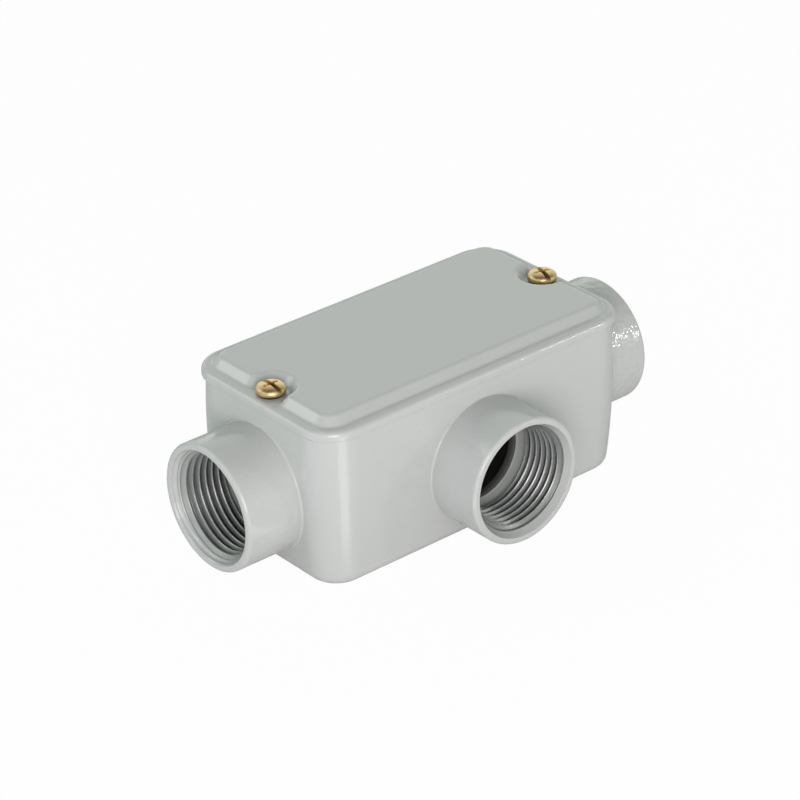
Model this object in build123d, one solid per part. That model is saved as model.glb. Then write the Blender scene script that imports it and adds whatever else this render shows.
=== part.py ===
"""Conduit body, T pattern: a cast box with three threaded hubs and a cover held by two screws.

Millimetres. The origin is the centre of the flat back. X lies along the run and points to the right
hub, the branch hub points along -Y, and Z goes from the back up to the cover.
"""
import math
import os

from build123d import *

# Hub thread, a three-quarter inch conduit size, and the metal round it
thread_root_radius = 13.22
hub_wall = 2.43
relief_undercut = 0.2
relief_length = 0.9

# Hub mouth: the lead-in cone, and the narrow ring between it and the rounded outer edge
lead_in = 0.8
mouth_depth = 1.8
mouth_inner_round = 0.25
mouth_land = 0.5

# Bushing at the inner end of each hub
bushing_lip = 2.72
throat_round = 1.0
throat_land = 0.66

# Hubs outside
run_hub_reach = 15.0
branch_hub_reach = 14.8
hub_root_round = 0.4

# Casting, with its length and corners at the height of the hubs' axes. Its walls bow in from there by the
# rim inset at the top and by the back inset at the back.
body_length = 91.3
corner_radius = 8.9
rim_inset = 0.35
back_inset = 1.6
wall = 3.0
floor_thickness = 3.0
back_edge_round = 2.8
chamber_floor_round = 2.5
core_draft = 0.75
root_land = 0.15
side_land = 0.05
seam_land = 3.65

# Cover screws
screw_radius = 2.0
screw_length = 9.8
screw_tip_chamfer = 0.5
head_radius = 3.55
head_side = 1.15
head_height = 2.6
head_fullness = 0.8
slot_width = 1.1
slot_depth = 1.15
cross_width = 0.95
cross_span = 4.2
cross_depth = 1.7
cross_taper = 8.0
screw_inset = 5.0
left_slot_turn = 86.0
right_slot_turn = 72.0

# Screw fits
tapped_gap = 0.05
cover_hole_gap = 0.25
gasket_hole_gap = 0.35
boss_wall = 2.6
boss_chamfer = 1.6
boss_gap = 0.15
tapped_lead = 0.4

# Gasket
gasket_thickness = 0.8
gasket_inset = 0.7

# Cover
cover_overhang = 0.75
flange_corner_radius = 8.8
plate_thickness = 1.7
seam_gap = 0.1
gasket_side_gap = 0.2
flange_top_round = 1.3
flange_foot_round = 0.3
panel_height = 2.2
panel_inset = 2.85
panel_corner_radius = 5.0
panel_slope = 43.0
panel_edge_round = 1.5
panel_foot_round = 0.8
panel_wall = 2.0
panel_side_wall = 2.6
pocket_gap = 0.7
pocket_flare = 14.0
pocket_mouth_round = 2.9

# Length by which a cutting tool runs past the metal, and how one that stands on its end is placed
overrun = 5.0
upright = (Align.CENTER, Align.CENTER, Align.MIN)


# Hub sizes that follow
hub_radius = thread_root_radius + hub_wall
mouth_radius = thread_root_radius + lead_in
mouth_edge_round = hub_wall - lead_in - mouth_inner_round - mouth_land
relief_radius = thread_root_radius + relief_undercut
throat_radius = thread_root_radius - bushing_lip
bushing_thickness = 2 * throat_round + throat_land

# Box sizes that follow: each hub's root stays on a flat stretch of wall
hub_axis_height = back_edge_round + root_land + hub_root_round + hub_radius
upper_height = hub_radius + hub_root_round + seam_land
body_height = hub_axis_height + upper_height
body_width = 2 * (hub_radius + hub_root_round + side_land + corner_radius)

# Plan of the rim, and the wall's thickness where the hubs pass through it
rim_length = body_length - 2 * rim_inset
rim_width = body_width - 2 * rim_inset
rim_radius = corner_radius - rim_inset
wall_at_hub = wall + rim_inset + upper_height * math.tan(math.radians(core_draft))

# Heights above the back that follow
gasket_top = body_height + gasket_thickness
flange_top = gasket_top + plate_thickness
panel_top = flange_top + panel_height
boss_foot = hub_axis_height + throat_radius + throat_round + boss_gap

# Plan sizes that follow
flange_length = rim_length + 2 * cover_overhang
flange_width = rim_width + 2 * cover_overhang
panel_length = flange_length - 2 * panel_inset
panel_width = flange_width - 2 * panel_inset
screw_x = flange_length / 2 - screw_inset
boss_radius = screw_radius + boss_wall
pocket_radius = head_radius + pocket_gap
screw_places = {"left": -screw_x, "right": screw_x}
slot_turns = {"left": left_slot_turn, "right": right_slot_turn}


def rounded_plan(length, width, radius, height):
    """A rectangle with round corners, level at the given height."""
    return Pos(0, 0, height) * RectangleRounded(length, width, radius)


def drafted_down(length, width, radius, top, depth, draft):
    """A round-cornered block that hangs from its top outline and narrows downwards."""
    plan = Plane(origin=(0, 0, top), z_dir=(0, 0, -1)) * RectangleRounded(length, width, radius)
    return extrude(plan, amount=depth, taper=draft)


def turned(points, arcs):
    """A solid of revolution about Z. Each arc gives a centre, a radius and its start and end angle,
    and takes the place of the line that leaves the point of its number."""
    lines = []
    for number, start in enumerate(points):
        end = points[(number + 1) % len(points)]
        if number in arcs:
            centre, radius, first, sweep = arcs[number]
            lines.append(Plane.XZ * CenterArc(centre, radius, first, sweep))
        else:
            lines.append(Plane.XZ * Line(start, end))
    return revolve(make_face(Wire(lines)), axis=Axis.Z)


def hub_places():
    """Each hub's mouth plane, with Z into the box, and how far the hub reaches out of the box."""
    run_mouth = body_length / 2 + run_hub_reach
    branch_mouth = body_width / 2 + branch_hub_reach
    left = Plane(origin=(-run_mouth, 0, hub_axis_height), x_dir=(0, 1, 0), z_dir=(1, 0, 0))
    right = Plane(origin=(run_mouth, 0, hub_axis_height), x_dir=(0, 1, 0), z_dir=(-1, 0, 0))
    branch = Plane(origin=(0, -branch_mouth, hub_axis_height), x_dir=(1, 0, 0), z_dir=(0, 1, 0))
    return [(left, run_hub_reach), (right, run_hub_reach), (branch, branch_hub_reach)]


def hub_barrel(reach):
    """The outside of a hub, from its mouth to inside the wall."""
    return Cylinder(hub_radius, reach + wall_at_hub / 2, align=upright)


def hub_bore(reach):
    """The inside of a hub: lead-in cone, thread wall, relief, shelf and the bushing's rounded throat."""
    wall_inside = reach + wall_at_hub
    shelf = wall_inside - bushing_thickness
    thread_end = shelf - relief_length
    lip = throat_round
    flare = throat_radius + lip
    points = [
        (0, -overrun),
        (mouth_radius, -overrun),
        (mouth_radius, 0),
        (thread_root_radius, mouth_depth),
        (thread_root_radius, thread_end),
        (relief_radius, thread_end + relief_undercut),
        (relief_radius, shelf),
        (flare, shelf),
        (throat_radius, shelf + lip),
        (throat_radius, wall_inside - lip),
        (flare, wall_inside),
        (flare, wall_inside + lip),
        (0, wall_inside + lip),
    ]
    arcs = {
        7: ((flare, shelf + lip), lip, 270, -90),
        9: ((flare, wall_inside - lip), lip, 180, -90),
    }
    return turned(points, arcs)


def screw_boss(x):
    """The boss that a cover screw is tapped into, cut by the box's outside later."""
    neck = boss_radius - boss_chamfer
    points = [
        (0, boss_foot),
        (neck, boss_foot),
        (boss_radius, boss_foot + boss_chamfer),
        (boss_radius, body_height),
        (0, body_height),
    ]
    return Pos(x, 0, 0) * turned(points, {})


def chamber():
    """The hollow of the box, with the two bosses left standing in it."""
    hollow = drafted_down(
        rim_length - 2 * wall,
        rim_width - 2 * wall,
        rim_radius - wall,
        body_height,
        body_height - floor_thickness,
        core_draft,
    )
    floor_edges = hollow.faces().sort_by(Axis.Z)[0].edges()
    hollow = fillet(floor_edges, chamber_floor_round)
    for x in screw_places.values():
        hollow -= screw_boss(x)
    return hollow


def barrelled(half):
    """Half of an upright section of the box, whose wall bows out to the given distance at the hubs' axes."""
    foot = half - back_inset
    top = half - rim_inset
    wall_line = ThreePointArc((foot, 0), (half, hub_axis_height), (top, body_height))
    rest = Polyline((top, body_height), (0, body_height), (0, 0), (foot, 0))
    return Plane.XZ * make_face([wall_line, rest])


def box_outside():
    """The outside of the box: two crossing slabs and four round corners, all with the same bowed wall."""
    straight_length = body_length - 2 * corner_radius
    straight_width = body_width - 2 * corner_radius
    along = extrude(barrelled(body_length / 2), amount=straight_width / 2, both=True)
    across = Rot(0, 0, 90) * extrude(barrelled(body_width / 2), amount=straight_length / 2, both=True)
    box = along + mirror(along, Plane.YZ) + across + mirror(across, Plane.XZ)
    corner = revolve(barrelled(corner_radius), axis=Axis.Z)
    for x in (-straight_length / 2, straight_length / 2):
        for y in (-straight_width / 2, straight_width / 2):
            box += Pos(x, y, 0) * corner
    return fillet(box.faces().sort_by(Axis.Z)[0].edges(), back_edge_round)


def ring_edges(casting, plane, radius, shallow, deep):
    """The edges that run round a hub's axis at a radius, between two depths from its mouth."""
    found = []
    for edge in casting.edges():
        places = [plane.to_local_coords(edge.position_at(share)) for share in (0.0, 0.3, 0.7, 1.0)]
        on_ring = all(abs(math.hypot(place.X, place.Y) - radius) < 0.01 for place in places)
        in_depth = all(shallow < place.Z < deep for place in places)
        if on_ring and in_depth:
            found.append(edge)
    return found


def conduit_body():
    """The one-piece casting."""
    casting = box_outside()
    for plane, reach in hub_places():
        casting += plane.location * hub_barrel(reach)
    for plane, reach in hub_places():
        root = ring_edges(casting, plane, hub_radius, reach / 2, reach + wall)
        casting = fillet(root, hub_root_round)
        mouth = ring_edges(casting, plane, hub_radius, -0.01, 0.01)
        casting = fillet(mouth, mouth_edge_round)
    casting -= chamber()
    for plane, reach in hub_places():
        casting -= plane.location * hub_bore(reach)
        inner = ring_edges(casting, plane, mouth_radius, -0.01, 0.01)
        casting = fillet(inner, mouth_inner_round)
    tapped_radius = screw_radius + tapped_gap
    hole = Cylinder(tapped_radius, body_height - boss_foot + 2 * overrun, align=upright)
    lead = Cone(tapped_radius, tapped_radius + tapped_lead, tapped_lead, align=upright)
    for x in screw_places.values():
        casting -= Pos(x, 0, boss_foot - overrun) * hole
        casting -= Pos(x, 0, body_height - tapped_lead) * lead
    return casting


def pocket_plan(x):
    """A U-shaped pocket round a screw head, flared and open to the short end."""
    outward = math.copysign(1.0, x)
    flare = math.radians(pocket_flare)
    touch_x = x - outward * pocket_radius * math.sin(flare)
    touch_y = pocket_radius * math.cos(flare)
    mouth_x = outward * (panel_length / 2 + overrun)
    mouth_y = touch_y + abs(mouth_x - touch_x) * math.tan(flare)
    throat = Polygon(
        (touch_x, -touch_y), (mouth_x, -mouth_y), (mouth_x, mouth_y), (touch_x, touch_y), align=None
    )
    return Pos(x, 0) * Circle(pocket_radius) + throat


def panel_plan():
    """The raised panel's outline at its foot, with the pockets' mouths rounded."""
    plan = RectangleRounded(panel_length, panel_width, panel_corner_radius)
    for x in screw_places.values():
        plan -= pocket_plan(x)
    straight_end = panel_width / 2 - panel_corner_radius - 0.01
    ends = plan.vertices().filter_by(lambda vertex: abs(abs(vertex.X) - panel_length / 2) < 0.01)
    mouth_corners = ends.filter_by(lambda vertex: abs(vertex.Y) < straight_end)
    return fillet(mouth_corners, pocket_mouth_round)


def cover():
    """The cover: flange, raised panel with pockets, hollow underside and gasket recess."""
    skirt_foot = body_height + seam_gap
    flange_plan = rounded_plan(flange_length, flange_width, flange_corner_radius, skirt_foot)
    flange = extrude(flange_plan, amount=flange_top - skirt_foot)
    flange = fillet(flange.faces().sort_by(Axis.Z)[-1].edges(), flange_top_round)
    flange = fillet(flange.faces().sort_by(Axis.Z)[0].edges(), flange_foot_round)
    outline = panel_plan()
    panel = extrude(Pos(0, 0, flange_top) * outline, amount=panel_height, taper=panel_slope)
    panel = fillet(panel.faces().sort_by(Axis.Z)[-1].edges(), panel_edge_round)
    solid = flange + panel
    at_foot = solid.edges().filter_by_position(Axis.Z, flange_top - 0.01, flange_top + 0.01)
    foot = at_foot.filter_by(lambda edge: abs(edge.center().X) < panel_length / 2 + 0.01)
    foot = foot.filter_by(lambda edge: abs(edge.center().Y) < panel_width / 2 + 0.01)
    solid = fillet(foot, panel_foot_round)
    dish_plan = Pos(0, 0, skirt_foot) * offset(outline, -panel_side_wall)
    solid -= extrude(dish_plan, amount=panel_top - panel_wall - skirt_foot)
    fit = gasket_side_gap - gasket_inset
    recess_plan = rounded_plan(rim_length + 2 * fit, rim_width + 2 * fit, rim_radius + fit, skirt_foot)
    solid -= extrude(recess_plan, amount=gasket_top - skirt_foot)
    hole = Cylinder(screw_radius + cover_hole_gap, panel_height + overrun, align=upright)
    for x in screw_places.values():
        solid -= Pos(x, 0, body_height) * hole
    return solid


def cover_gasket():
    """The flat gasket on the rim, with a tongue over each boss."""
    sheet = rounded_plan(
        rim_length - 2 * gasket_inset, rim_width - 2 * gasket_inset, rim_radius - gasket_inset, body_height
    )
    window = rounded_plan(rim_length - 2 * wall, rim_width - 2 * wall, rim_radius - wall, body_height)
    for x in screw_places.values():
        window -= Pos(x, 0, body_height) * Circle(boss_radius)
    sheet -= window
    for x in screw_places.values():
        sheet -= Pos(x, 0, body_height) * Circle(screw_radius + gasket_hole_gap)
    return extrude(sheet, amount=gasket_thickness)


def cover_screw(side):
    """A cover screw seated in its pocket: shank, crowned head, slot and cross recess."""
    crown = head_height - head_side
    tip = screw_radius - screw_tip_chamfer
    outline = [
        Line((0, -screw_length), (tip, -screw_length)),
        Line((tip, -screw_length), (screw_radius, screw_tip_chamfer - screw_length)),
        Line((screw_radius, screw_tip_chamfer - screw_length), (screw_radius, 0)),
        Line((screw_radius, 0), (head_radius, 0)),
        Line((head_radius, 0), (head_radius, head_side)),
        Bezier(
            (head_radius, head_side),
            (head_radius, head_side + head_fullness * crown),
            (head_radius / 2, head_height),
            (0, head_height),
        ),
        Line((0, head_height), (0, -screw_length)),
    ]
    screw = revolve(Plane.XZ * make_face(outline), axis=Axis.Z)
    slot = Box(2 * head_radius + overrun, slot_width, overrun, align=upright)
    wings = Rectangle(cross_span, cross_width) + Rectangle(cross_width, cross_span)
    cross_plane = Plane(origin=(0, 0, head_height), z_dir=(0, 0, -1))
    cross = extrude(cross_plane * wings, amount=cross_depth, taper=cross_taper)
    screw -= Pos(0, 0, head_height - slot_depth) * slot + cross
    return Pos(screw_places[side], 0, flange_top) * Rot(0, 0, slot_turns[side]) * screw


nodes = {
    "conduit_body": conduit_body(),
    "cover": cover(),
    "cover_gasket": cover_gasket(),
    "left_cover_screw": cover_screw("left"),
    "right_cover_screw": cover_screw("right"),
}

os.makedirs("parts", exist_ok=True)
for name, solid in nodes.items():
    solid.label = name
    export_step(solid, f"parts/{name}.step")
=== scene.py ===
"""The look of the T-pattern conduit body: enamel, cut threads, brass screws, gasket, studio and camera.

Metres, in the row frame: X along the run, the branch hub along -Y, Z from the back to the cover.
"""
import math

import bmesh
import bpy
from mathutils import Matrix, Vector


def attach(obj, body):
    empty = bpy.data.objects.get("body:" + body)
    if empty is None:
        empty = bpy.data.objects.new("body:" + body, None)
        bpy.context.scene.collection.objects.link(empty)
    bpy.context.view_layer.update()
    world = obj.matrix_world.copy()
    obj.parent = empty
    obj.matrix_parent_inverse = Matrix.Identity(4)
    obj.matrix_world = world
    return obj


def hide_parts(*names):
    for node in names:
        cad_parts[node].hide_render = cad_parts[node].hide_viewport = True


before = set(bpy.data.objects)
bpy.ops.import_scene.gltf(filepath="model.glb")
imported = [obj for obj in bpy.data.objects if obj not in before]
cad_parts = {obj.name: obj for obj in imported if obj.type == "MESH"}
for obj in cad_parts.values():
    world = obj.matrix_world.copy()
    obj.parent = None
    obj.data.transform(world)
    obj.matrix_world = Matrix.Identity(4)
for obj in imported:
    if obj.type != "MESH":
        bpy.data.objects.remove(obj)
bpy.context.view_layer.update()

MM = 0.001

# Hub sizes, as the casting has them. A mouth and a foot are distances from the box's middle
HUB_AXIS_HEIGHT = 19.0 * MM
RUN_MOUTH = 60.65 * MM
RUN_HUB_FOOT = 45.0 * MM
BRANCH_MOUTH = 39.8 * MM
BRANCH_HUB_FOOT = 25.0 * MM
LEAD_IN_RADIUS = 14.2 * MM
BORE_RADIUS = 13.6 * MM
THROAT_RADIUS = 11.0 * MM

# Each hub: the way into it, and the side from which its thread's turns are counted
HUB_WAYS = {
    "left": (Vector((1, 0, 0)), Vector((0, -1, 0))),
    "right": (Vector((-1, 0, 0)), Vector((0, 1, 0))),
    "branch": (Vector((0, 1, 0)), Vector((1, 0, 0))),
}

# Chamber sizes, as the casting has them
CHAMBER_HALF_LENGTH = 42.6 * MM
CHAMBER_HALF_WIDTH = 21.95 * MM
CHAMBER_CORNER = 5.9 * MM
CHAMBER_FLOOR = 2.9 * MM

# Hub threads. The flat crest is a share of the pitch, and the rounding a share of the flank's rise
THREAD_ROOT = 13.22 * MM
THREAD_CREST = 12.06 * MM
THREAD_PITCH = 1.814 * MM
THREAD_FLAT = 0.17
THREAD_ROUNDING = 0.4
THREAD_START = 1.8 * MM
RUN_THREAD_END = 15.0 * MM
BRANCH_THREAD_END = 14.8 * MM
THREAD_ROWS = 18
THREAD_COLUMNS = 160

# The first groove's depth below the mouth, where the turns are counted from
RUN_FIRST_ROOT = 1.63 * MM
BRANCH_FIRST_ROOT = 2.0 * MM

# How far the thread's sleeve sits in the hub's wall, and its groove stands off that wall
SLEEVE_SEAT = 0.05 * MM
ROOT_GAP = 0.03 * MM

# Paint that ran in over the thread: its deepest side, and its reach there
RUN_PAINT_ANGLE = math.radians(205)
RUN_PAINT_REACH = 2.6 * MM
BRANCH_PAINT_ANGLE = math.radians(90)
BRANCH_PAINT_REACH = 0.5 * MM

# The share of that reach on the far side, and of the groove that thick paint fills
PAINT_LEAST_SHARE = 0.25
PAINT_FILL = 0.45

# The depth below a mouth at which its bore turns bare
PAINT_DEPTH = 1.95 * MM

# The thread's first turn under the paint of the left hub's lead-in: its height, and its depths
RIDGE_HEIGHT = 0.25 * MM
RIDGE_START = 0.2 * MM
RIDGE_FULL = 0.6 * MM
RIDGE_FADE = 1.6 * MM
RIDGE_GONE = 2.0 * MM

# Its fade at the lead-in's wide edge, and the cosines between which it comes in round the hub
RIDGE_RIM = 0.2 * MM
RIDGE_TURN = (-0.2, 0.6)

# The wrinkled skin of the hubs: its height, its share away from the right hub, and how soon it is full
HUB_SKIN = 0.28 * MM
HUB_SKIN_SHARE = 0.22
HUB_SKIN_FADE = 2.0 * MM
RIGHT_SKIN_FADE = 5.0 * MM

# Cover screws: place and shank
SCREW_X = 41.05 * MM
SCREW_SEAT = 41.2 * MM
SHANK_RADIUS = 2.0 * MM
SHANK_LENGTH = 9.8 * MM
SHANK_PITCH = 0.7 * MM
SHANK_THREAD_HEIGHT = 0.38 * MM
SHANK_TIP_RADIUS = 1.5 * MM
SHANK_IN_HEAD = 0.3 * MM
SHANK_ROWS = 8
SHANK_COLUMNS = 48

# Cover screws: head. A dome of fullness 2 is an ellipse, and more is squarer
HEAD_RADIUS = 3.55 * MM
HEAD_FOOT_RADIUS = 3.05 * MM
HEAD_WAIST = 0.95 * MM
HEAD_HEIGHT = 2.6 * MM
HEAD_FULLNESS = 2.7
HEAD_COLUMNS = 96
HEAD_FOOT_STEPS = 6
HEAD_DOME_STEPS = 20

# Cover screws: slot and cross recess
SLOT_LENGTH = 3 * HEAD_RADIUS
SLOT_WIDTH = 1.15 * MM
SLOT_DEPTH = 1.2 * MM
SLOT_TURNS = {"left": 90.0, "right": 76.0}
CROSS_SPAN = 4.2 * MM
CROSS_WIDTH = 0.95 * MM
CROSS_DEPTH = 1.7 * MM
CROSS_TAPER = 0.5 * MM
CUTTER_CLEARANCE = 0.2 * MM
EDGE_EASE = 0.07 * MM
EDGE_STEPS = 2
EDGE_ANGLE = math.radians(35)
CREASE_ANGLE = math.radians(50)

# Vertices nearer than this are one
JOIN_DISTANCE = 0.0005 * MM

# Tints, as linear red, green, blue and alpha
WHITE = (1, 1, 1, 1)
ENAMEL_TINTS = ((0.512, 0.532, 0.515, 1), (0.522, 0.542, 0.525, 1))
BORE_TINTS = ((0.34, 0.37, 0.345, 1), (0.42, 0.45, 0.425, 1))
# Painted shade: the near-black tint inside the closed chamber and its throats
CHAMBER_SHADE_TINTS = ((0.045, 0.047, 0.042, 1), (0.08, 0.082, 0.075, 1))
# Thread tints by height: painted shade in the groove, the flank, and a painted highlight on the crest
GROOVE_SHADE_TINT = (0.025, 0.03, 0.025, 1)
FLANK_TINT = (0.25, 0.265, 0.255, 1)
CREST_HIGHLIGHT_TINT = (0.58, 0.6, 0.585, 1)
THREAD_PAINT_TINT = (0.49, 0.515, 0.495, 1)
BRASS_TINTS = ((0.57, 0.40, 0.18, 1), (0.80, 0.61, 0.33, 1))
# Painted shade down in the screw head's slot and cross recess
BRASS_RECESS_SHADE_TINT = (0.13, 0.085, 0.035, 1)
RUBBER_TINTS = ((0.018, 0.018, 0.018, 1), (0.04, 0.04, 0.04, 1))

# Roughness and metal, from 0 to 1
ENAMEL_ROUGHNESS = (0.08, 0.13)
ENAMEL_IOR = 1.5
BORE_ROUGHNESS = 0.6
BORE_METAL = 0.1
CHAMBER_ROUGHNESS = 0.75
THREAD_ROUGHNESS = (0.3, 0.44)
THREAD_METAL = 0.6
BRASS_ROUGHNESS = (0.34, 0.48)
RUBBER_ROUGHNESS = 0.7

# Heights of the finishes' bumps
PEEL_HEIGHT = 0.03 * MM
CAST_SKIN_HEIGHT = 0.05 * MM
THREAD_GRAIN_HEIGHT = 0.015 * MM
BRASS_RING_HEIGHT = 0.004 * MM
BRASS_WEAR_HEIGHT = 0.02 * MM
RUBBER_GRAIN_HEIGHT = 0.02 * MM

# Where the thread turns from the groove's painted shade to flank and to the crest's painted highlight, from
# 0 at its root, and how ragged that edge is
FLANK_EDGE = (0.18, 0.55)
CREST_EDGE = (0.95, 1.1)
EDGE_RAGGEDNESS = 0.25

# The stretch that noise mostly keeps to
NOISE_LOW = 0.3
NOISE_HIGH = 0.7

# Surroundings, as radiance against a white of 1. The zenith starts at this height of the unit sphere
SKY_HORIZON = 0.74
SKY_ZENITH = 0.08
SKY_ZENITH_START = 0.85
SKY_COLOUR = (0.95, 1.0, 0.955, 1)

# Soft glows round the object: azimuth, elevation and width in degrees, and radiance
SKY_GLOWS = {
    "front": (-26, 0, 90, 0.4),
    "back": (146, 24, 50, 0.97),
    "left_back": (-142, 31, 18, 2.6),
}

# Floor, and its own share of white to the camera alone
FLOOR_HALF = 2.0
FLOOR_TINT = (0.85, 0.85, 0.85, 1)
FLOOR_GLOW = 0.97

# A bright strip on the floor before the near corner, seen only in reflections
STRIP_START = Vector((-0.038, -0.018, 0.0005))
STRIP_AZIMUTH = -10.5
STRIP_LENGTH = 0.11
STRIP_SPREAD = 12.0
STRIP_RADIANCE = 2.6
STRIP_FADE = 0.03

# Lamps: azimuth and elevation in degrees, distance, size, radiance and colour
LAMPS = {
    "key": (41, 15, 0.6, 0.034, 66.0, (1.0, 1.0, 1.0)),
    "left": (-95, 30, 0.8, 0.2, 3.3, (0.78, 0.9, 1.0)),
    "front": (-35, 16, 0.9, 0.4, 8.5, (1.0, 0.915, 0.97)),
    "high_front": (-28, 40, 0.7, 0.036, 24.0, (1.0, 0.97, 0.98)),
}
LAMP_AIM = Vector((0, 0, 0.02))

# Camera
CAMERA_PLACE = Vector((-0.426612, -0.518218, 0.394498))
CAMERA_AZIMUTH = -39.214
CAMERA_ELEVATION = 28.889
CAMERA_ROLL = -1.755
CAMERA_FOCAL_PIXELS = 3276.48
CAMERA_NEAR = 0.01
CAMERA_FAR = 20
PICTURE_PIXELS = 800
SENSOR = 36.0


def tree_of(name):
    """A new material and its empty node tree."""
    material = bpy.data.materials.new(name)
    material.use_nodes = True
    material.node_tree.nodes.clear()
    return material, material.node_tree


def add(tree, kind, inputs=None, **settings):
    """A shader node. An input is a constant, or a socket to link from."""
    made = tree.nodes.new(kind)
    for key, value in settings.items():
        setattr(made, key, value)
    for key, value in (inputs or {}).items():
        if isinstance(value, bpy.types.NodeSocket):
            tree.links.new(value, made.inputs[key])
        else:
            made.inputs[key].default_value = value
    return made


def object_place(tree):
    """The place on the object, in its own coordinates."""
    return add(tree, "ShaderNodeTexCoord").outputs["Object"]


def coordinates(tree, place):
    """The three coordinates of a place."""
    return add(tree, "ShaderNodeSeparateXYZ", {"Vector": place}).outputs


def noise(tree, place, scale, detail=2.0, rough=0.5):
    """Noise over the given coordinates, with scale in features a metre."""
    inputs = {"Vector": place, "Scale": scale, "Detail": detail, "Roughness": rough}
    return add(tree, "ShaderNodeTexNoise", inputs).outputs["Fac"]


def ramp(tree, value, low, high, to_low=0.0, to_high=1.0):
    """The value carried from one range to another, and held inside it."""
    inputs = {"Value": value, "From Min": low, "From Max": high, "To Min": to_low, "To Max": to_high}
    return add(tree, "ShaderNodeMapRange", inputs).outputs["Result"]


def spread(tree, grain, to_low=0.0, to_high=1.0):
    """Noise carried to the whole of a range."""
    return ramp(tree, grain, NOISE_LOW, NOISE_HIGH, to_low, to_high)


def blend_colour(tree, factor, first, second):
    """A colour between two, by a factor."""
    return add(tree, "ShaderNodeMix", {0: factor, 6: first, 7: second}, data_type="RGBA").outputs[2]


def blend_value(tree, factor, first, second):
    """A value between two, by a factor."""
    return add(tree, "ShaderNodeMix", {0: factor, 2: first, 3: second}).outputs[0]


def arithmetic(tree, operation, *values):
    """One arithmetic step."""
    return add(tree, "ShaderNodeMath", dict(enumerate(values)), operation=operation).outputs[0]


def bump(tree, height, distance, below=None):
    """A bump of the given height in metres, on top of an earlier one."""
    inputs = {"Height": height, "Distance": distance, "Strength": 1.0}
    if below is not None:
        inputs["Normal"] = below
    return add(tree, "ShaderNodeBump", inputs).outputs["Normal"]


def surface(tree, **inputs):
    """The principled shader on the material's output."""
    named = {key.replace("_", " "): value for key, value in inputs.items()}
    shader = add(tree, "ShaderNodeBsdfPrincipled", named)
    add(tree, "ShaderNodeOutputMaterial", {"Surface": shader.outputs["BSDF"]})


def within(tree, value, limit):
    """1 where the value is under the limit, otherwise 0."""
    return arithmetic(tree, "LESS_THAN", value, limit)


def beyond(tree, value, limit):
    """How far the value is past the limit, and 0 before it."""
    return arithmetic(tree, "MAXIMUM", arithmetic(tree, "SUBTRACT", value, limit), 0.0)


def both(tree, first, second):
    """1 where two masks are both 1."""
    return arithmetic(tree, "MULTIPLY", first, second)


def either(tree, first, second):
    """1 where one of two masks is 1."""
    return arithmetic(tree, "MAXIMUM", first, second)


def distance(tree, first, second):
    """The length of two legs at right angles."""
    square = arithmetic(tree, "MULTIPLY", second, second)
    return arithmetic(tree, "SQRT", arithmetic(tree, "MULTIPLY_ADD", first, first, square))


def body_zones(tree, place):
    """Masks of the painted shade, a near-black tint for the chamber and the throats, and of the machined
    bores.
    """
    x, y, z = coordinates(tree, place)
    along = arithmetic(tree, "ABSOLUTE", x)
    across = arithmetic(tree, "ABSOLUTE", y)
    end = beyond(tree, along, CHAMBER_HALF_LENGTH - CHAMBER_CORNER)
    side = beyond(tree, across, CHAMBER_HALF_WIDTH - CHAMBER_CORNER)
    in_plan = within(tree, distance(tree, end, side), CHAMBER_CORNER)
    chamber = both(tree, in_plan, arithmetic(tree, "GREATER_THAN", z, CHAMBER_FLOOR))
    rise = arithmetic(tree, "SUBTRACT", z, HUB_AXIS_HEIGHT)
    from_run = distance(tree, rise, across)
    from_branch = distance(tree, rise, along)
    in_run = within(tree, from_run, BORE_RADIUS)
    in_branch = both(tree, within(tree, from_branch, BORE_RADIUS), within(tree, y, 0.0))
    throat = within(tree, arithmetic(tree, "MINIMUM", from_run, from_branch), THROAT_RADIUS)
    run = both(tree, in_run, within(tree, along, RUN_MOUTH - PAINT_DEPTH))
    branch = both(tree, in_branch, within(tree, across, BRANCH_MOUTH - PAINT_DEPTH))
    # Painted shade over the chamber and over the throats in the bores
    painted_shade = either(tree, chamber, both(tree, throat, either(tree, run, branch)))
    bore = both(tree, either(tree, run, branch), arithmetic(tree, "SUBTRACT", 1.0, painted_shade))
    return painted_shade, bore


def enamel_look(tree, place):
    """Tint, roughness and normal of gloss enamel over a cast skin."""
    broad = noise(tree, place, scale=45.0, detail=3.0)
    peel = noise(tree, place, scale=420.0)
    skin = noise(tree, place, scale=1500.0, rough=0.6)
    tint = blend_colour(tree, spread(tree, broad), *ENAMEL_TINTS)
    rough = spread(tree, peel, *ENAMEL_ROUGHNESS)
    normal = bump(tree, peel, PEEL_HEIGHT)
    normal = bump(tree, skin, CAST_SKIN_HEIGHT, normal)
    return tint, rough, normal


def hub_skin(tree, place):
    """Height, from 0 to 1, of the wrinkled skin under the hubs' paint, fullest on the right hub."""
    x, y, _ = coordinates(tree, place)
    along = arithmetic(tree, "ABSOLUTE", x)
    wrinkles = noise(tree, place, scale=560.0, detail=1.0, rough=0.4)
    right = ramp(tree, x, RUN_HUB_FOOT, RUN_HUB_FOOT + RIGHT_SKIN_FADE, HUB_SKIN_SHARE, 1.0)
    run = ramp(tree, along, RUN_HUB_FOOT, RUN_HUB_FOOT + HUB_SKIN_FADE)
    branch = ramp(tree, y, -BRANCH_HUB_FOOT - HUB_SKIN_FADE, -BRANCH_HUB_FOOT, 1.0, 0.0)
    return both(tree, wrinkles, both(tree, right, either(tree, run, branch)))


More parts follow.
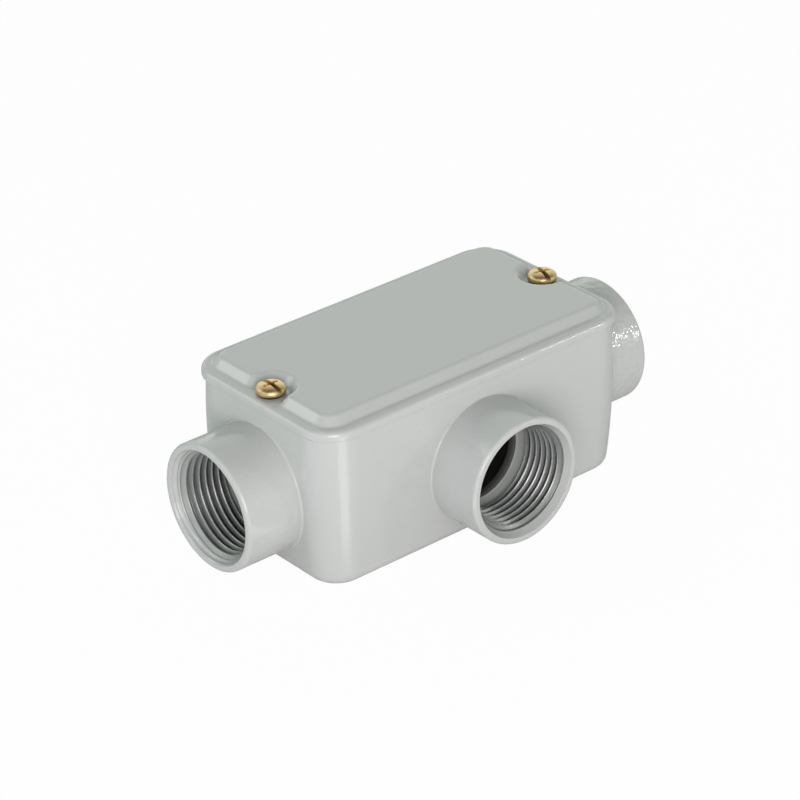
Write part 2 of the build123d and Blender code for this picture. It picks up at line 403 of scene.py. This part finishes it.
def lead_in_ridges(tree, place):
    """Height, from 0 to 1, of the thread's first turn under the paint of the left hub's lead-in."""
    x, y, z = coordinates(tree, place)
    depth = arithmetic(tree, "ADD", x, RUN_MOUTH)
    rise = arithmetic(tree, "SUBTRACT", z, HUB_AXIS_HEIGHT)
    turn = arithmetic(tree, "ARCTAN2", rise, arithmetic(tree, "MULTIPLY", y, -1.0))
    turns = arithmetic(tree, "MULTIPLY_ADD", turn, -0.5 / math.pi, -RUN_FIRST_ROOT / THREAD_PITCH)
    phase = arithmetic(tree, "MULTIPLY_ADD", depth, 1 / THREAD_PITCH, turns)
    wave = arithmetic(tree, "COSINE", arithmetic(tree, "MULTIPLY", phase, 2 * math.pi))
    inside = ramp(tree, distance(tree, rise, y), LEAD_IN_RADIUS - RIDGE_RIM, LEAD_IN_RADIUS, 1.0, 0.0)
    fading = ramp(tree, depth, RIDGE_FADE, RIDGE_GONE, 1.0, 0.0)
    deep = both(tree, ramp(tree, depth, RIDGE_START, RIDGE_FULL), fading)
    towards = arithmetic(tree, "COSINE", arithmetic(tree, "SUBTRACT", turn, RUN_PAINT_ANGLE))
    mask = both(tree, both(tree, inside, deep), ramp(tree, towards, *RIDGE_TURN))
    return both(tree, mask, arithmetic(tree, "MULTIPLY_ADD", wave, -0.5, 0.5))


def cover_finish():
    """Gloss grey enamel."""
    material, tree = tree_of("cover_enamel")
    tint, rough, normal = enamel_look(tree, object_place(tree))
    surface(tree, Base_Color=tint, Roughness=rough, Normal=normal, IOR=ENAMEL_IOR)
    return material


def body_finish():
    """Gloss grey enamel outside, bare metal in the bores, and painted shade, a near-black tint, in the
    chamber and throats.
    """
    material, tree = tree_of("body_enamel")
    place = object_place(tree)
    tint, rough, normal = enamel_look(tree, place)
    normal = bump(tree, hub_skin(tree, place), HUB_SKIN, normal)
    normal = bump(tree, lead_in_ridges(tree, place), RIDGE_HEIGHT, normal)
    chamber, bore = body_zones(tree, place)
    grain = noise(tree, place, scale=1100.0, detail=3.0, rough=0.6)
    tint = blend_colour(tree, bore, tint, blend_colour(tree, grain, *BORE_TINTS))
    # Painted shade: the chamber and throats take a near-black tint
    tint = blend_colour(tree, chamber, tint, blend_colour(tree, grain, *CHAMBER_SHADE_TINTS))
    rough = blend_value(tree, bore, rough, BORE_ROUGHNESS)
    rough = blend_value(tree, chamber, rough, CHAMBER_ROUGHNESS)
    metal = arithmetic(tree, "MULTIPLY", bore, BORE_METAL)
    surface(tree, Base_Color=tint, Metallic=metal, Roughness=rough, Normal=normal, IOR=ENAMEL_IOR)
    return material


def thread_metal():
    """Cut thread in bare metal, with painted shade in its roots and a painted highlight on its crests, and
    painted over near the mouth.
    """
    material, tree = tree_of("thread_metal")
    marks = add(tree, "ShaderNodeAttribute", attribute_name="thread").outputs["Color"]
    height, paint, _ = add(tree, "ShaderNodeSeparateColor", {"Color": marks}).outputs
    grain = noise(tree, object_place(tree), scale=1400.0, detail=3.0, rough=0.6)
    ragged = arithmetic(tree, "MULTIPLY_ADD", grain, EDGE_RAGGEDNESS, height)
    # Painted shade down in the groove and a painted highlight along the crest
    flank = blend_colour(tree, ramp(tree, ragged, *FLANK_EDGE), GROOVE_SHADE_TINT, FLANK_TINT)
    bare = blend_colour(tree, ramp(tree, ragged, *CREST_EDGE), flank, CREST_HIGHLIGHT_TINT)
    tint = blend_colour(tree, paint, bare, THREAD_PAINT_TINT)
    metal = arithmetic(tree, "MULTIPLY_ADD", paint, -THREAD_METAL, THREAD_METAL)
    rough = spread(tree, grain, *THREAD_ROUGHNESS)
    normal = bump(tree, grain, THREAD_GRAIN_HEIGHT)
    surface(tree, Base_Color=tint, Metallic=metal, Roughness=rough, Normal=normal)
    return material


def brass():
    """Turned brass with rings from the tool, with painted shade darker down in its recesses."""
    material, tree = tree_of("brass")
    place = object_place(tree)
    tone = noise(tree, place, scale=700.0, detail=3.0)
    rings = add(
        tree,
        "ShaderNodeTexWave",
        {"Vector": place, "Scale": 1600.0, "Distortion": 1.5, "Detail": 1.0},
        wave_type="RINGS",
        rings_direction="Z",
    ).outputs["Fac"]
    recess = add(tree, "ShaderNodeAttribute", attribute_name="recess").outputs["Fac"]
    tint = blend_colour(tree, spread(tree, tone), *BRASS_TINTS)
    # Painted shade, deepest at the slot's depth
    tint = blend_colour(tree, recess, tint, BRASS_RECESS_SHADE_TINT)
    rough = spread(tree, tone, *BRASS_ROUGHNESS)
    normal = bump(tree, rings, BRASS_RING_HEIGHT)
    normal = bump(tree, tone, BRASS_WEAR_HEIGHT, normal)
    surface(tree, Base_Color=tint, Metallic=1.0, Roughness=rough, Normal=normal)
    return material


def rubber():
    """Black gasket rubber."""
    material, tree = tree_of("gasket_rubber")
    grain = noise(tree, object_place(tree), scale=1500.0, detail=3.0)
    tint = blend_colour(tree, grain, *RUBBER_TINTS)
    normal = bump(tree, grain, RUBBER_GRAIN_HEIGHT)
    surface(tree, Base_Color=tint, Roughness=RUBBER_ROUGHNESS, Normal=normal)
    return material


def repaint(node, material):
    """Gives a carried-over node its material."""
    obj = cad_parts[node]
    obj.data.materials.clear()
    obj.data.materials.append(material)


def ring_of(mesh, columns, radius, depth):
    """A ring of vertices."""
    angles = [2 * math.pi * column / columns for column in range(columns)]
    return [mesh.verts.new((radius * math.cos(angle), radius * math.sin(angle), depth)) for angle in angles]


def bridge(mesh, first, second):
    """Faces between two rings."""
    for column in range(len(first)):
        after = (column + 1) % len(first)
        mesh.faces.new((first[column], first[after], second[after], second[column]))


def helical_wall(mesh, pitch, first, start, end, radius_at, rows, columns):
    """A wall whose rows follow a helix, so that every crest is one line of vertices.

    The wall goes from the depth start to the depth end, and a turn begins at the depth first. radius_at
    gives the radius at an angle, a depth and a phase of the pitch. Rows past either end are held there,
    where clean joins them.
    """
    step = pitch / rows
    count = math.ceil((end - start) / step) + 3 * rows
    grid = []
    for column in range(columns):
        angle = 2 * math.pi * column / columns
        line = []
        for row in range(count):
            depth = first + (row - 2 * rows + rows * column / columns) * step
            depth = min(max(depth, start), end)
            radius = radius_at(angle, depth, (row % rows) / rows)
            line.append(mesh.verts.new((radius * math.cos(angle), radius * math.sin(angle), depth)))
        grid.append(line)
    for column in range(columns):
        last = column == columns - 1
        beside = grid[0] if last else grid[column + 1]
        shift = rows if last else 0
        for row in range(count - 1 - shift):
            mesh.faces.new(
                (grid[column][row], grid[column][row + 1], beside[row + 1 + shift], beside[row + shift])
            )


def clean(mesh):
    """Joins doubled vertices, drops faces without area and turns the others outward."""
    bmesh.ops.remove_doubles(mesh, verts=mesh.verts, dist=JOIN_DISTANCE)
    bmesh.ops.dissolve_degenerate(mesh, edges=mesh.edges, dist=JOIN_DISTANCE)
    bmesh.ops.recalc_face_normals(mesh, faces=mesh.faces)


def new_object(name, mesh):
    """An object in the scene from a bmesh, which is freed."""
    data = bpy.data.meshes.new(name)
    mesh.to_mesh(data)
    mesh.free()
    obj = bpy.data.objects.new(name, data)
    bpy.context.scene.collection.objects.link(obj)
    return obj


def piece(name, mesh, place, body, material):
    """A new piece from a bmesh, put in place and riding on a body."""
    obj = new_object(name, mesh)
    obj.data.materials.append(material)
    obj.matrix_world = place
    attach(obj, body)
    return obj


def thread_height(phase):
    """The thread's height over its root, from 0 to 1, across one pitch."""
    off_crest = abs(2 * phase - 1)
    rise = (1 - THREAD_FLAT / 2 - off_crest) / (1 - THREAD_FLAT)
    rise = min(max(rise, 0.0), 1.0)
    rounded = rise * rise * (3 - 2 * rise)
    return rounded * THREAD_ROUNDING + rise * (1 - THREAD_ROUNDING)


def thread_sleeve(name, place, material, end, first_root, paint_angle, paint_reach):
    """A closed sleeve on a hub's wall with the helical thread on its inside.

    place carries the sleeve's own frame, with Z down the bore from the mouth, to the row frame. The
    groove's root is at the depth first_root on the X side, and the paint reaches deepest at
    paint_angle.
    """
    tall = THREAD_ROOT - THREAD_CREST
    floor = THREAD_ROOT - ROOT_GAP

    def paint_at(angle, depth):
        facing = 0.5 + 0.5 * math.cos(angle - paint_angle)
        reach = paint_reach * (PAINT_LEAST_SHARE + (1 - PAINT_LEAST_SHARE) * facing)
        return math.exp((THREAD_START - depth) / reach)

    def radius_at(angle, depth, phase):
        rise = min(thread_height(phase) * tall, depth - THREAD_START, end - depth)
        return floor - rise * (1 - PAINT_FILL * paint_at(angle, depth))

    mesh = bmesh.new()
    marks = mesh.loops.layers.float_color.new("thread")
    columns = THREAD_COLUMNS
    helical_wall(mesh, THREAD_PITCH, first_root, THREAD_START, end, radius_at, THREAD_ROWS, columns)
    outer = [ring_of(mesh, columns, THREAD_ROOT + SLEEVE_SEAT, depth) for depth in (THREAD_START, end)]
    inner = [ring_of(mesh, columns, floor, depth) for depth in (THREAD_START, end)]
    bridge(mesh, outer[0], outer[1])
    bridge(mesh, inner[0], outer[0])
    bridge(mesh, inner[1], outer[1])
    clean(mesh)
    for face in mesh.faces:
        face.smooth = True
        for loop in face.loops:
            x, y, depth = loop.vert.co
            # The height here sets the thread's painted shade and highlight
            rise = max(floor - math.hypot(x, y), 0.0) / tall
            loop[marks] = (rise, paint_at(math.atan2(y, x), depth), 0.0, 1.0)
    return piece(name, mesh, place, "body", material)


def bore_frame(mouth, inward, side):
    """The frame of a hub: its mouth's centre, Z into the bore and X to the given side."""
    up = inward.cross(side)
    turn = Matrix((side, up, inward)).transposed().to_4x4()
    return Matrix.Translation(mouth) @ turn


def hub_threads(material):
    """The thread of each hub."""
    run = (RUN_THREAD_END, RUN_FIRST_ROOT, RUN_PAINT_ANGLE, RUN_PAINT_REACH)
    branch = (BRANCH_THREAD_END, BRANCH_FIRST_ROOT, BRANCH_PAINT_ANGLE, BRANCH_PAINT_REACH)
    for hub, (inward, side) in HUB_WAYS.items():
        reach = BRANCH_MOUTH if hub == "branch" else RUN_MOUTH
        sizes = branch if hub == "branch" else run
        place = bore_frame(Vector((0, 0, HUB_AXIS_HEIGHT)) - reach * inward, inward, side)
        sleeve = thread_sleeve(f"{hub}_hub_thread", place, material, *sizes)


def recess_depth(x, y, z):
    """How far below the head's dome a place on the head lies, from 0 to 1 at the slot's depth."""
    across = min(math.hypot(x, y) / HEAD_RADIUS, 1.0)
    dome = HEAD_WAIST + (HEAD_HEIGHT - HEAD_WAIST) * (1 - across**HEAD_FULLNESS) ** (1 / HEAD_FULLNESS)
    return min(max((dome - z) / SLOT_DEPTH, 0.0), 1.0) if z >= 0 else 0.0


def turned_head(mesh):
    """The screw head: a foot that curls in under a full dome."""
    profile = []
    for step in range(HEAD_FOOT_STEPS + 1):
        below = 1 - step / HEAD_FOOT_STEPS
        across = HEAD_RADIUS - (HEAD_RADIUS - HEAD_FOOT_RADIUS) * below**2
        profile.append((across, HEAD_WAIST * (1 - below)))
    for step in range(1, HEAD_DOME_STEPS):
        rise = math.sin(math.pi / 2 * step / HEAD_DOME_STEPS)
        across = (1 - rise**HEAD_FULLNESS) ** (1 / HEAD_FULLNESS)
        profile.append((HEAD_RADIUS * across, HEAD_WAIST + (HEAD_HEIGHT - HEAD_WAIST) * rise))
    rings = [ring_of(mesh, HEAD_COLUMNS, radius, height) for radius, height in profile]
    for low, high in zip(rings, rings[1:]):
        bridge(mesh, low, high)
    mesh.faces.new(rings[0])
    mesh.faces.new(rings[-1])
    mesh.normal_update()
    bmesh.ops.recalc_face_normals(mesh, faces=mesh.faces)


def cutter(length, width, depth, taper):
    """A block down into the head, narrower by the taper at its bottom."""
    mesh = bmesh.new()
    bmesh.ops.create_cube(mesh, size=1.0)
    for vertex in mesh.verts:
        low = vertex.co.z < 0
        vertex.co.x *= length - taper * low
        vertex.co.y *= width - taper * low
        vertex.co.z = HEAD_HEIGHT - depth if low else HEAD_HEIGHT + CUTTER_CLEARANCE
    return new_object("cutter", mesh)


def cut_head():
    """The head with its slot, cross recess and eased edges, as a mesh."""
    mesh = bmesh.new()
    turned_head(mesh)
    head = new_object("head", mesh)
    cutters = [
        cutter(SLOT_LENGTH, SLOT_WIDTH, SLOT_DEPTH, 0.0),
        cutter(CROSS_SPAN, CROSS_WIDTH, CROSS_DEPTH, CROSS_TAPER),
        cutter(CROSS_WIDTH, CROSS_SPAN, CROSS_DEPTH, CROSS_TAPER),
    ]
    for tool in cutters:
        cut = head.modifiers.new("cut", "BOOLEAN")
        cut.operation = "DIFFERENCE"
        cut.solver = "EXACT"
        cut.object = tool
    ease = head.modifiers.new("ease", "BEVEL")
    ease.width = EDGE_EASE
    ease.segments = EDGE_STEPS
    ease.limit_method = "ANGLE"
    ease.angle_limit = EDGE_ANGLE
    depsgraph = bpy.context.evaluated_depsgraph_get()
    cut_mesh = bpy.data.meshes.new_from_object(head.evaluated_get(depsgraph))
    for spare in [head, *cutters]:
        bpy.data.objects.remove(spare)
    return cut_mesh


def shank_radius(_, depth, phase):
    """The radius of a screw's threaded shank, full at the head and pointed at the tip."""
    groove = min(abs(2 * phase - 1) * SHANK_THREAD_HEIGHT, max(depth, 0.0))
    return min(SHANK_RADIUS - groove, SHANK_TIP_RADIUS + SHANK_LENGTH - depth)


def cover_screw(side, head, material):
    """A cover screw with its slotted head and threaded shank, in place of the plain one."""
    mesh = bmesh.new()
    columns = SHANK_COLUMNS
    helical_wall(mesh, SHANK_PITCH, 0.0, -SHANK_IN_HEAD, SHANK_LENGTH, shank_radius, SHANK_ROWS, columns)
    mesh.faces.new(ring_of(mesh, columns, SHANK_RADIUS, -SHANK_IN_HEAD))
    mesh.faces.new(ring_of(mesh, columns, SHANK_TIP_RADIUS, SHANK_LENGTH))
    bmesh.ops.rotate(mesh, verts=mesh.verts, matrix=Matrix.Rotation(math.pi, 3, "X"))
    mesh.from_mesh(head)
    clean(mesh)
    # How deep each corner lies below the dome, for the brass's painted shade
    marks = mesh.loops.layers.float_color.new("recess")
    for face in mesh.faces:
        face.smooth = True
        for loop in face.loops:
            depth = recess_depth(*loop.vert.co)
            loop[marks] = (depth, depth, depth, 1.0)
    for edge in mesh.edges:
        edge.smooth = edge.calc_face_angle(0.0) < CREASE_ANGLE
    place = Matrix.Translation((SCREW_X if side == "right" else -SCREW_X, 0, SCREW_SEAT))
    place = place @ Matrix.Rotation(math.radians(SLOT_TURNS[side]), 4, "Z")
    screw = piece(f"{side}_brass_screw", mesh, place, f"{side}_screw", material)
    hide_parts(f"{side}_cover_screw")


def direction(azimuth, elevation):
    """The unit vector towards a place round the object. Azimuth 0 is the front and 90 the right."""
    turn = math.radians(azimuth)
    rise = math.radians(elevation)
    return Vector((math.sin(turn) * math.cos(rise), -math.cos(turn) * math.cos(rise), math.sin(rise)))


def camera():
    """The camera at the photograph's viewing angle."""
    azimuth = math.radians(CAMERA_AZIMUTH)
    roll = math.radians(CAMERA_ROLL)
    back = direction(CAMERA_AZIMUTH, CAMERA_ELEVATION)
    level = Vector((math.cos(azimuth), math.sin(azimuth), 0))
    up = back.cross(level)
    right = math.cos(roll) * level + math.sin(roll) * up
    upright = math.cos(roll) * up - math.sin(roll) * level
    data = bpy.data.cameras.new("camera")
    data.sensor_width = SENSOR
    data.lens = CAMERA_FOCAL_PIXELS / PICTURE_PIXELS * SENSOR
    data.clip_start = CAMERA_NEAR
    data.clip_end = CAMERA_FAR
    obj = bpy.data.objects.new("camera", data)
    turn = Matrix((right, upright, back)).transposed().to_4x4()
    obj.matrix_world = Matrix.Translation(CAMERA_PLACE) @ turn
    bpy.context.scene.collection.objects.link(obj)
    bpy.context.scene.camera = obj


def lamp(name, azimuth, elevation, reach, size, radiance, colour):
    """A soft square lamp that looks at the object."""
    data = bpy.data.lights.new(name, "AREA")
    data.shape = "SQUARE"
    data.size = size
    data.energy = radiance * math.pi * size * size
    data.color = colour
    obj = bpy.data.objects.new(name, data)
    away = direction(azimuth, elevation)
    obj.location = LAMP_AIM + away * reach
    obj.rotation_euler = away.to_track_quat("Z", "Y").to_euler()
    bpy.context.scene.collection.objects.link(obj)


def stage_mesh(name, corners, material):
    """One flat face of the studio."""
    data = bpy.data.meshes.new(name)
    data.from_pydata(corners, [], [tuple(range(len(corners)))])
    data.materials.append(material)
    obj = bpy.data.objects.new(name, data)
    bpy.context.scene.collection.objects.link(obj)
    return obj


def sky(tree):
    """Radiance of the surroundings: bright low down, dim overhead, with the soft glows."""
    way = add(tree, "ShaderNodeTexCoord").outputs["Generated"]
    _, _, height = coordinates(tree, way)
    level = ramp(tree, height, 0.0, SKY_ZENITH_START, SKY_HORIZON, SKY_ZENITH)
    for azimuth, elevation, width, radiance in SKY_GLOWS.values():
        centre = direction(azimuth, elevation)
        ways = {0: way, 1: centre}
        facing = add(tree, "ShaderNodeVectorMath", ways, operation="DOT_PRODUCT").outputs["Value"]
        glow = ramp(tree, facing, math.cos(math.radians(width)), 1.0, 0.0, radiance)
        level = arithmetic(tree, "ADD", level, glow)
    return level


def camera_share(tree, share, plain, seen):
    """A shader that gives the camera the given share of another one, and everything else none of it."""
    camera_ray = add(tree, "ShaderNodeLightPath").outputs["Is Camera Ray"]
    factor = arithmetic(tree, "MULTIPLY", camera_ray, share)
    return add(tree, "ShaderNodeMixShader", {0: factor, 1: plain, 2: seen}).outputs["Shader"]


def surroundings():
    """The sky round the object, and plain white to the camera."""
    world = bpy.data.worlds.new("studio")
    world.use_nodes = True
    bpy.context.scene.world = world
    tree = world.node_tree
    tree.nodes.clear()
    fill = add(tree, "ShaderNodeBackground", {"Color": SKY_COLOUR, "Strength": sky(tree)})
    white = add(tree, "ShaderNodeBackground", {"Color": WHITE, "Strength": 1.0})
    mixed = camera_share(tree, 1.0, fill.outputs["Background"], white.outputs["Background"])
    add(tree, "ShaderNodeOutputWorld", {"Surface": mixed})


def studio_floor():
    """The pale floor, which keeps the object's shadow."""
    material, tree = tree_of("floor")
    matt = add(tree, "ShaderNodeBsdfDiffuse", {"Color": FLOOR_TINT}).outputs["BSDF"]
    glow = add(tree, "ShaderNodeEmission", {"Color": WHITE, "Strength": 1.0}).outputs["Emission"]
    add(tree, "ShaderNodeOutputMaterial", {"Surface": camera_share(tree, FLOOR_GLOW, matt, glow)})
    corners = [(FLOOR_HALF * x, FLOOR_HALF * y, 0) for x, y in ((-1, -1), (1, -1), (1, 1), (-1, 1))]
    stage_mesh("floor", corners, material)


def reflected_strip():
    """The bright strip on the floor, which comes in over a short length."""
    material, tree = tree_of("strip")
    ends = {0: object_place(tree), 1: STRIP_START}
    away = add(tree, "ShaderNodeVectorMath", ends, operation="DISTANCE").outputs["Value"]
    level = ramp(tree, away, 0.0, STRIP_FADE, 0.0, STRIP_RADIANCE)
    glow = add(tree, "ShaderNodeEmission", {"Color": WHITE, "Strength": level}).outputs["Emission"]
    add(tree, "ShaderNodeOutputMaterial", {"Surface": glow})
    ways = [direction(STRIP_AZIMUTH + turn, 0) for turn in (-STRIP_SPREAD, STRIP_SPREAD)]
    corners = [STRIP_START, *(STRIP_START + way * STRIP_LENGTH for way in ways)]
    obj = stage_mesh("strip", corners, material)
    obj.visible_camera = False
    obj.visible_diffuse = False
    obj.visible_shadow = False


repaint("conduit_body", body_finish())
repaint("cover", cover_finish())
repaint("cover_gasket", rubber())
screw_brass = brass()
screw_head = cut_head()
for screw_side in ("left", "right"):
    cover_screw(screw_side, screw_head, screw_brass)
hub_threads(thread_metal())
camera()
surroundings()
studio_floor()
reflected_strip()
for lamp_name, lamp_values in LAMPS.items():
    lamp(lamp_name, *lamp_values)
bpy.context.scene.view_settings.view_transform = "Standard"
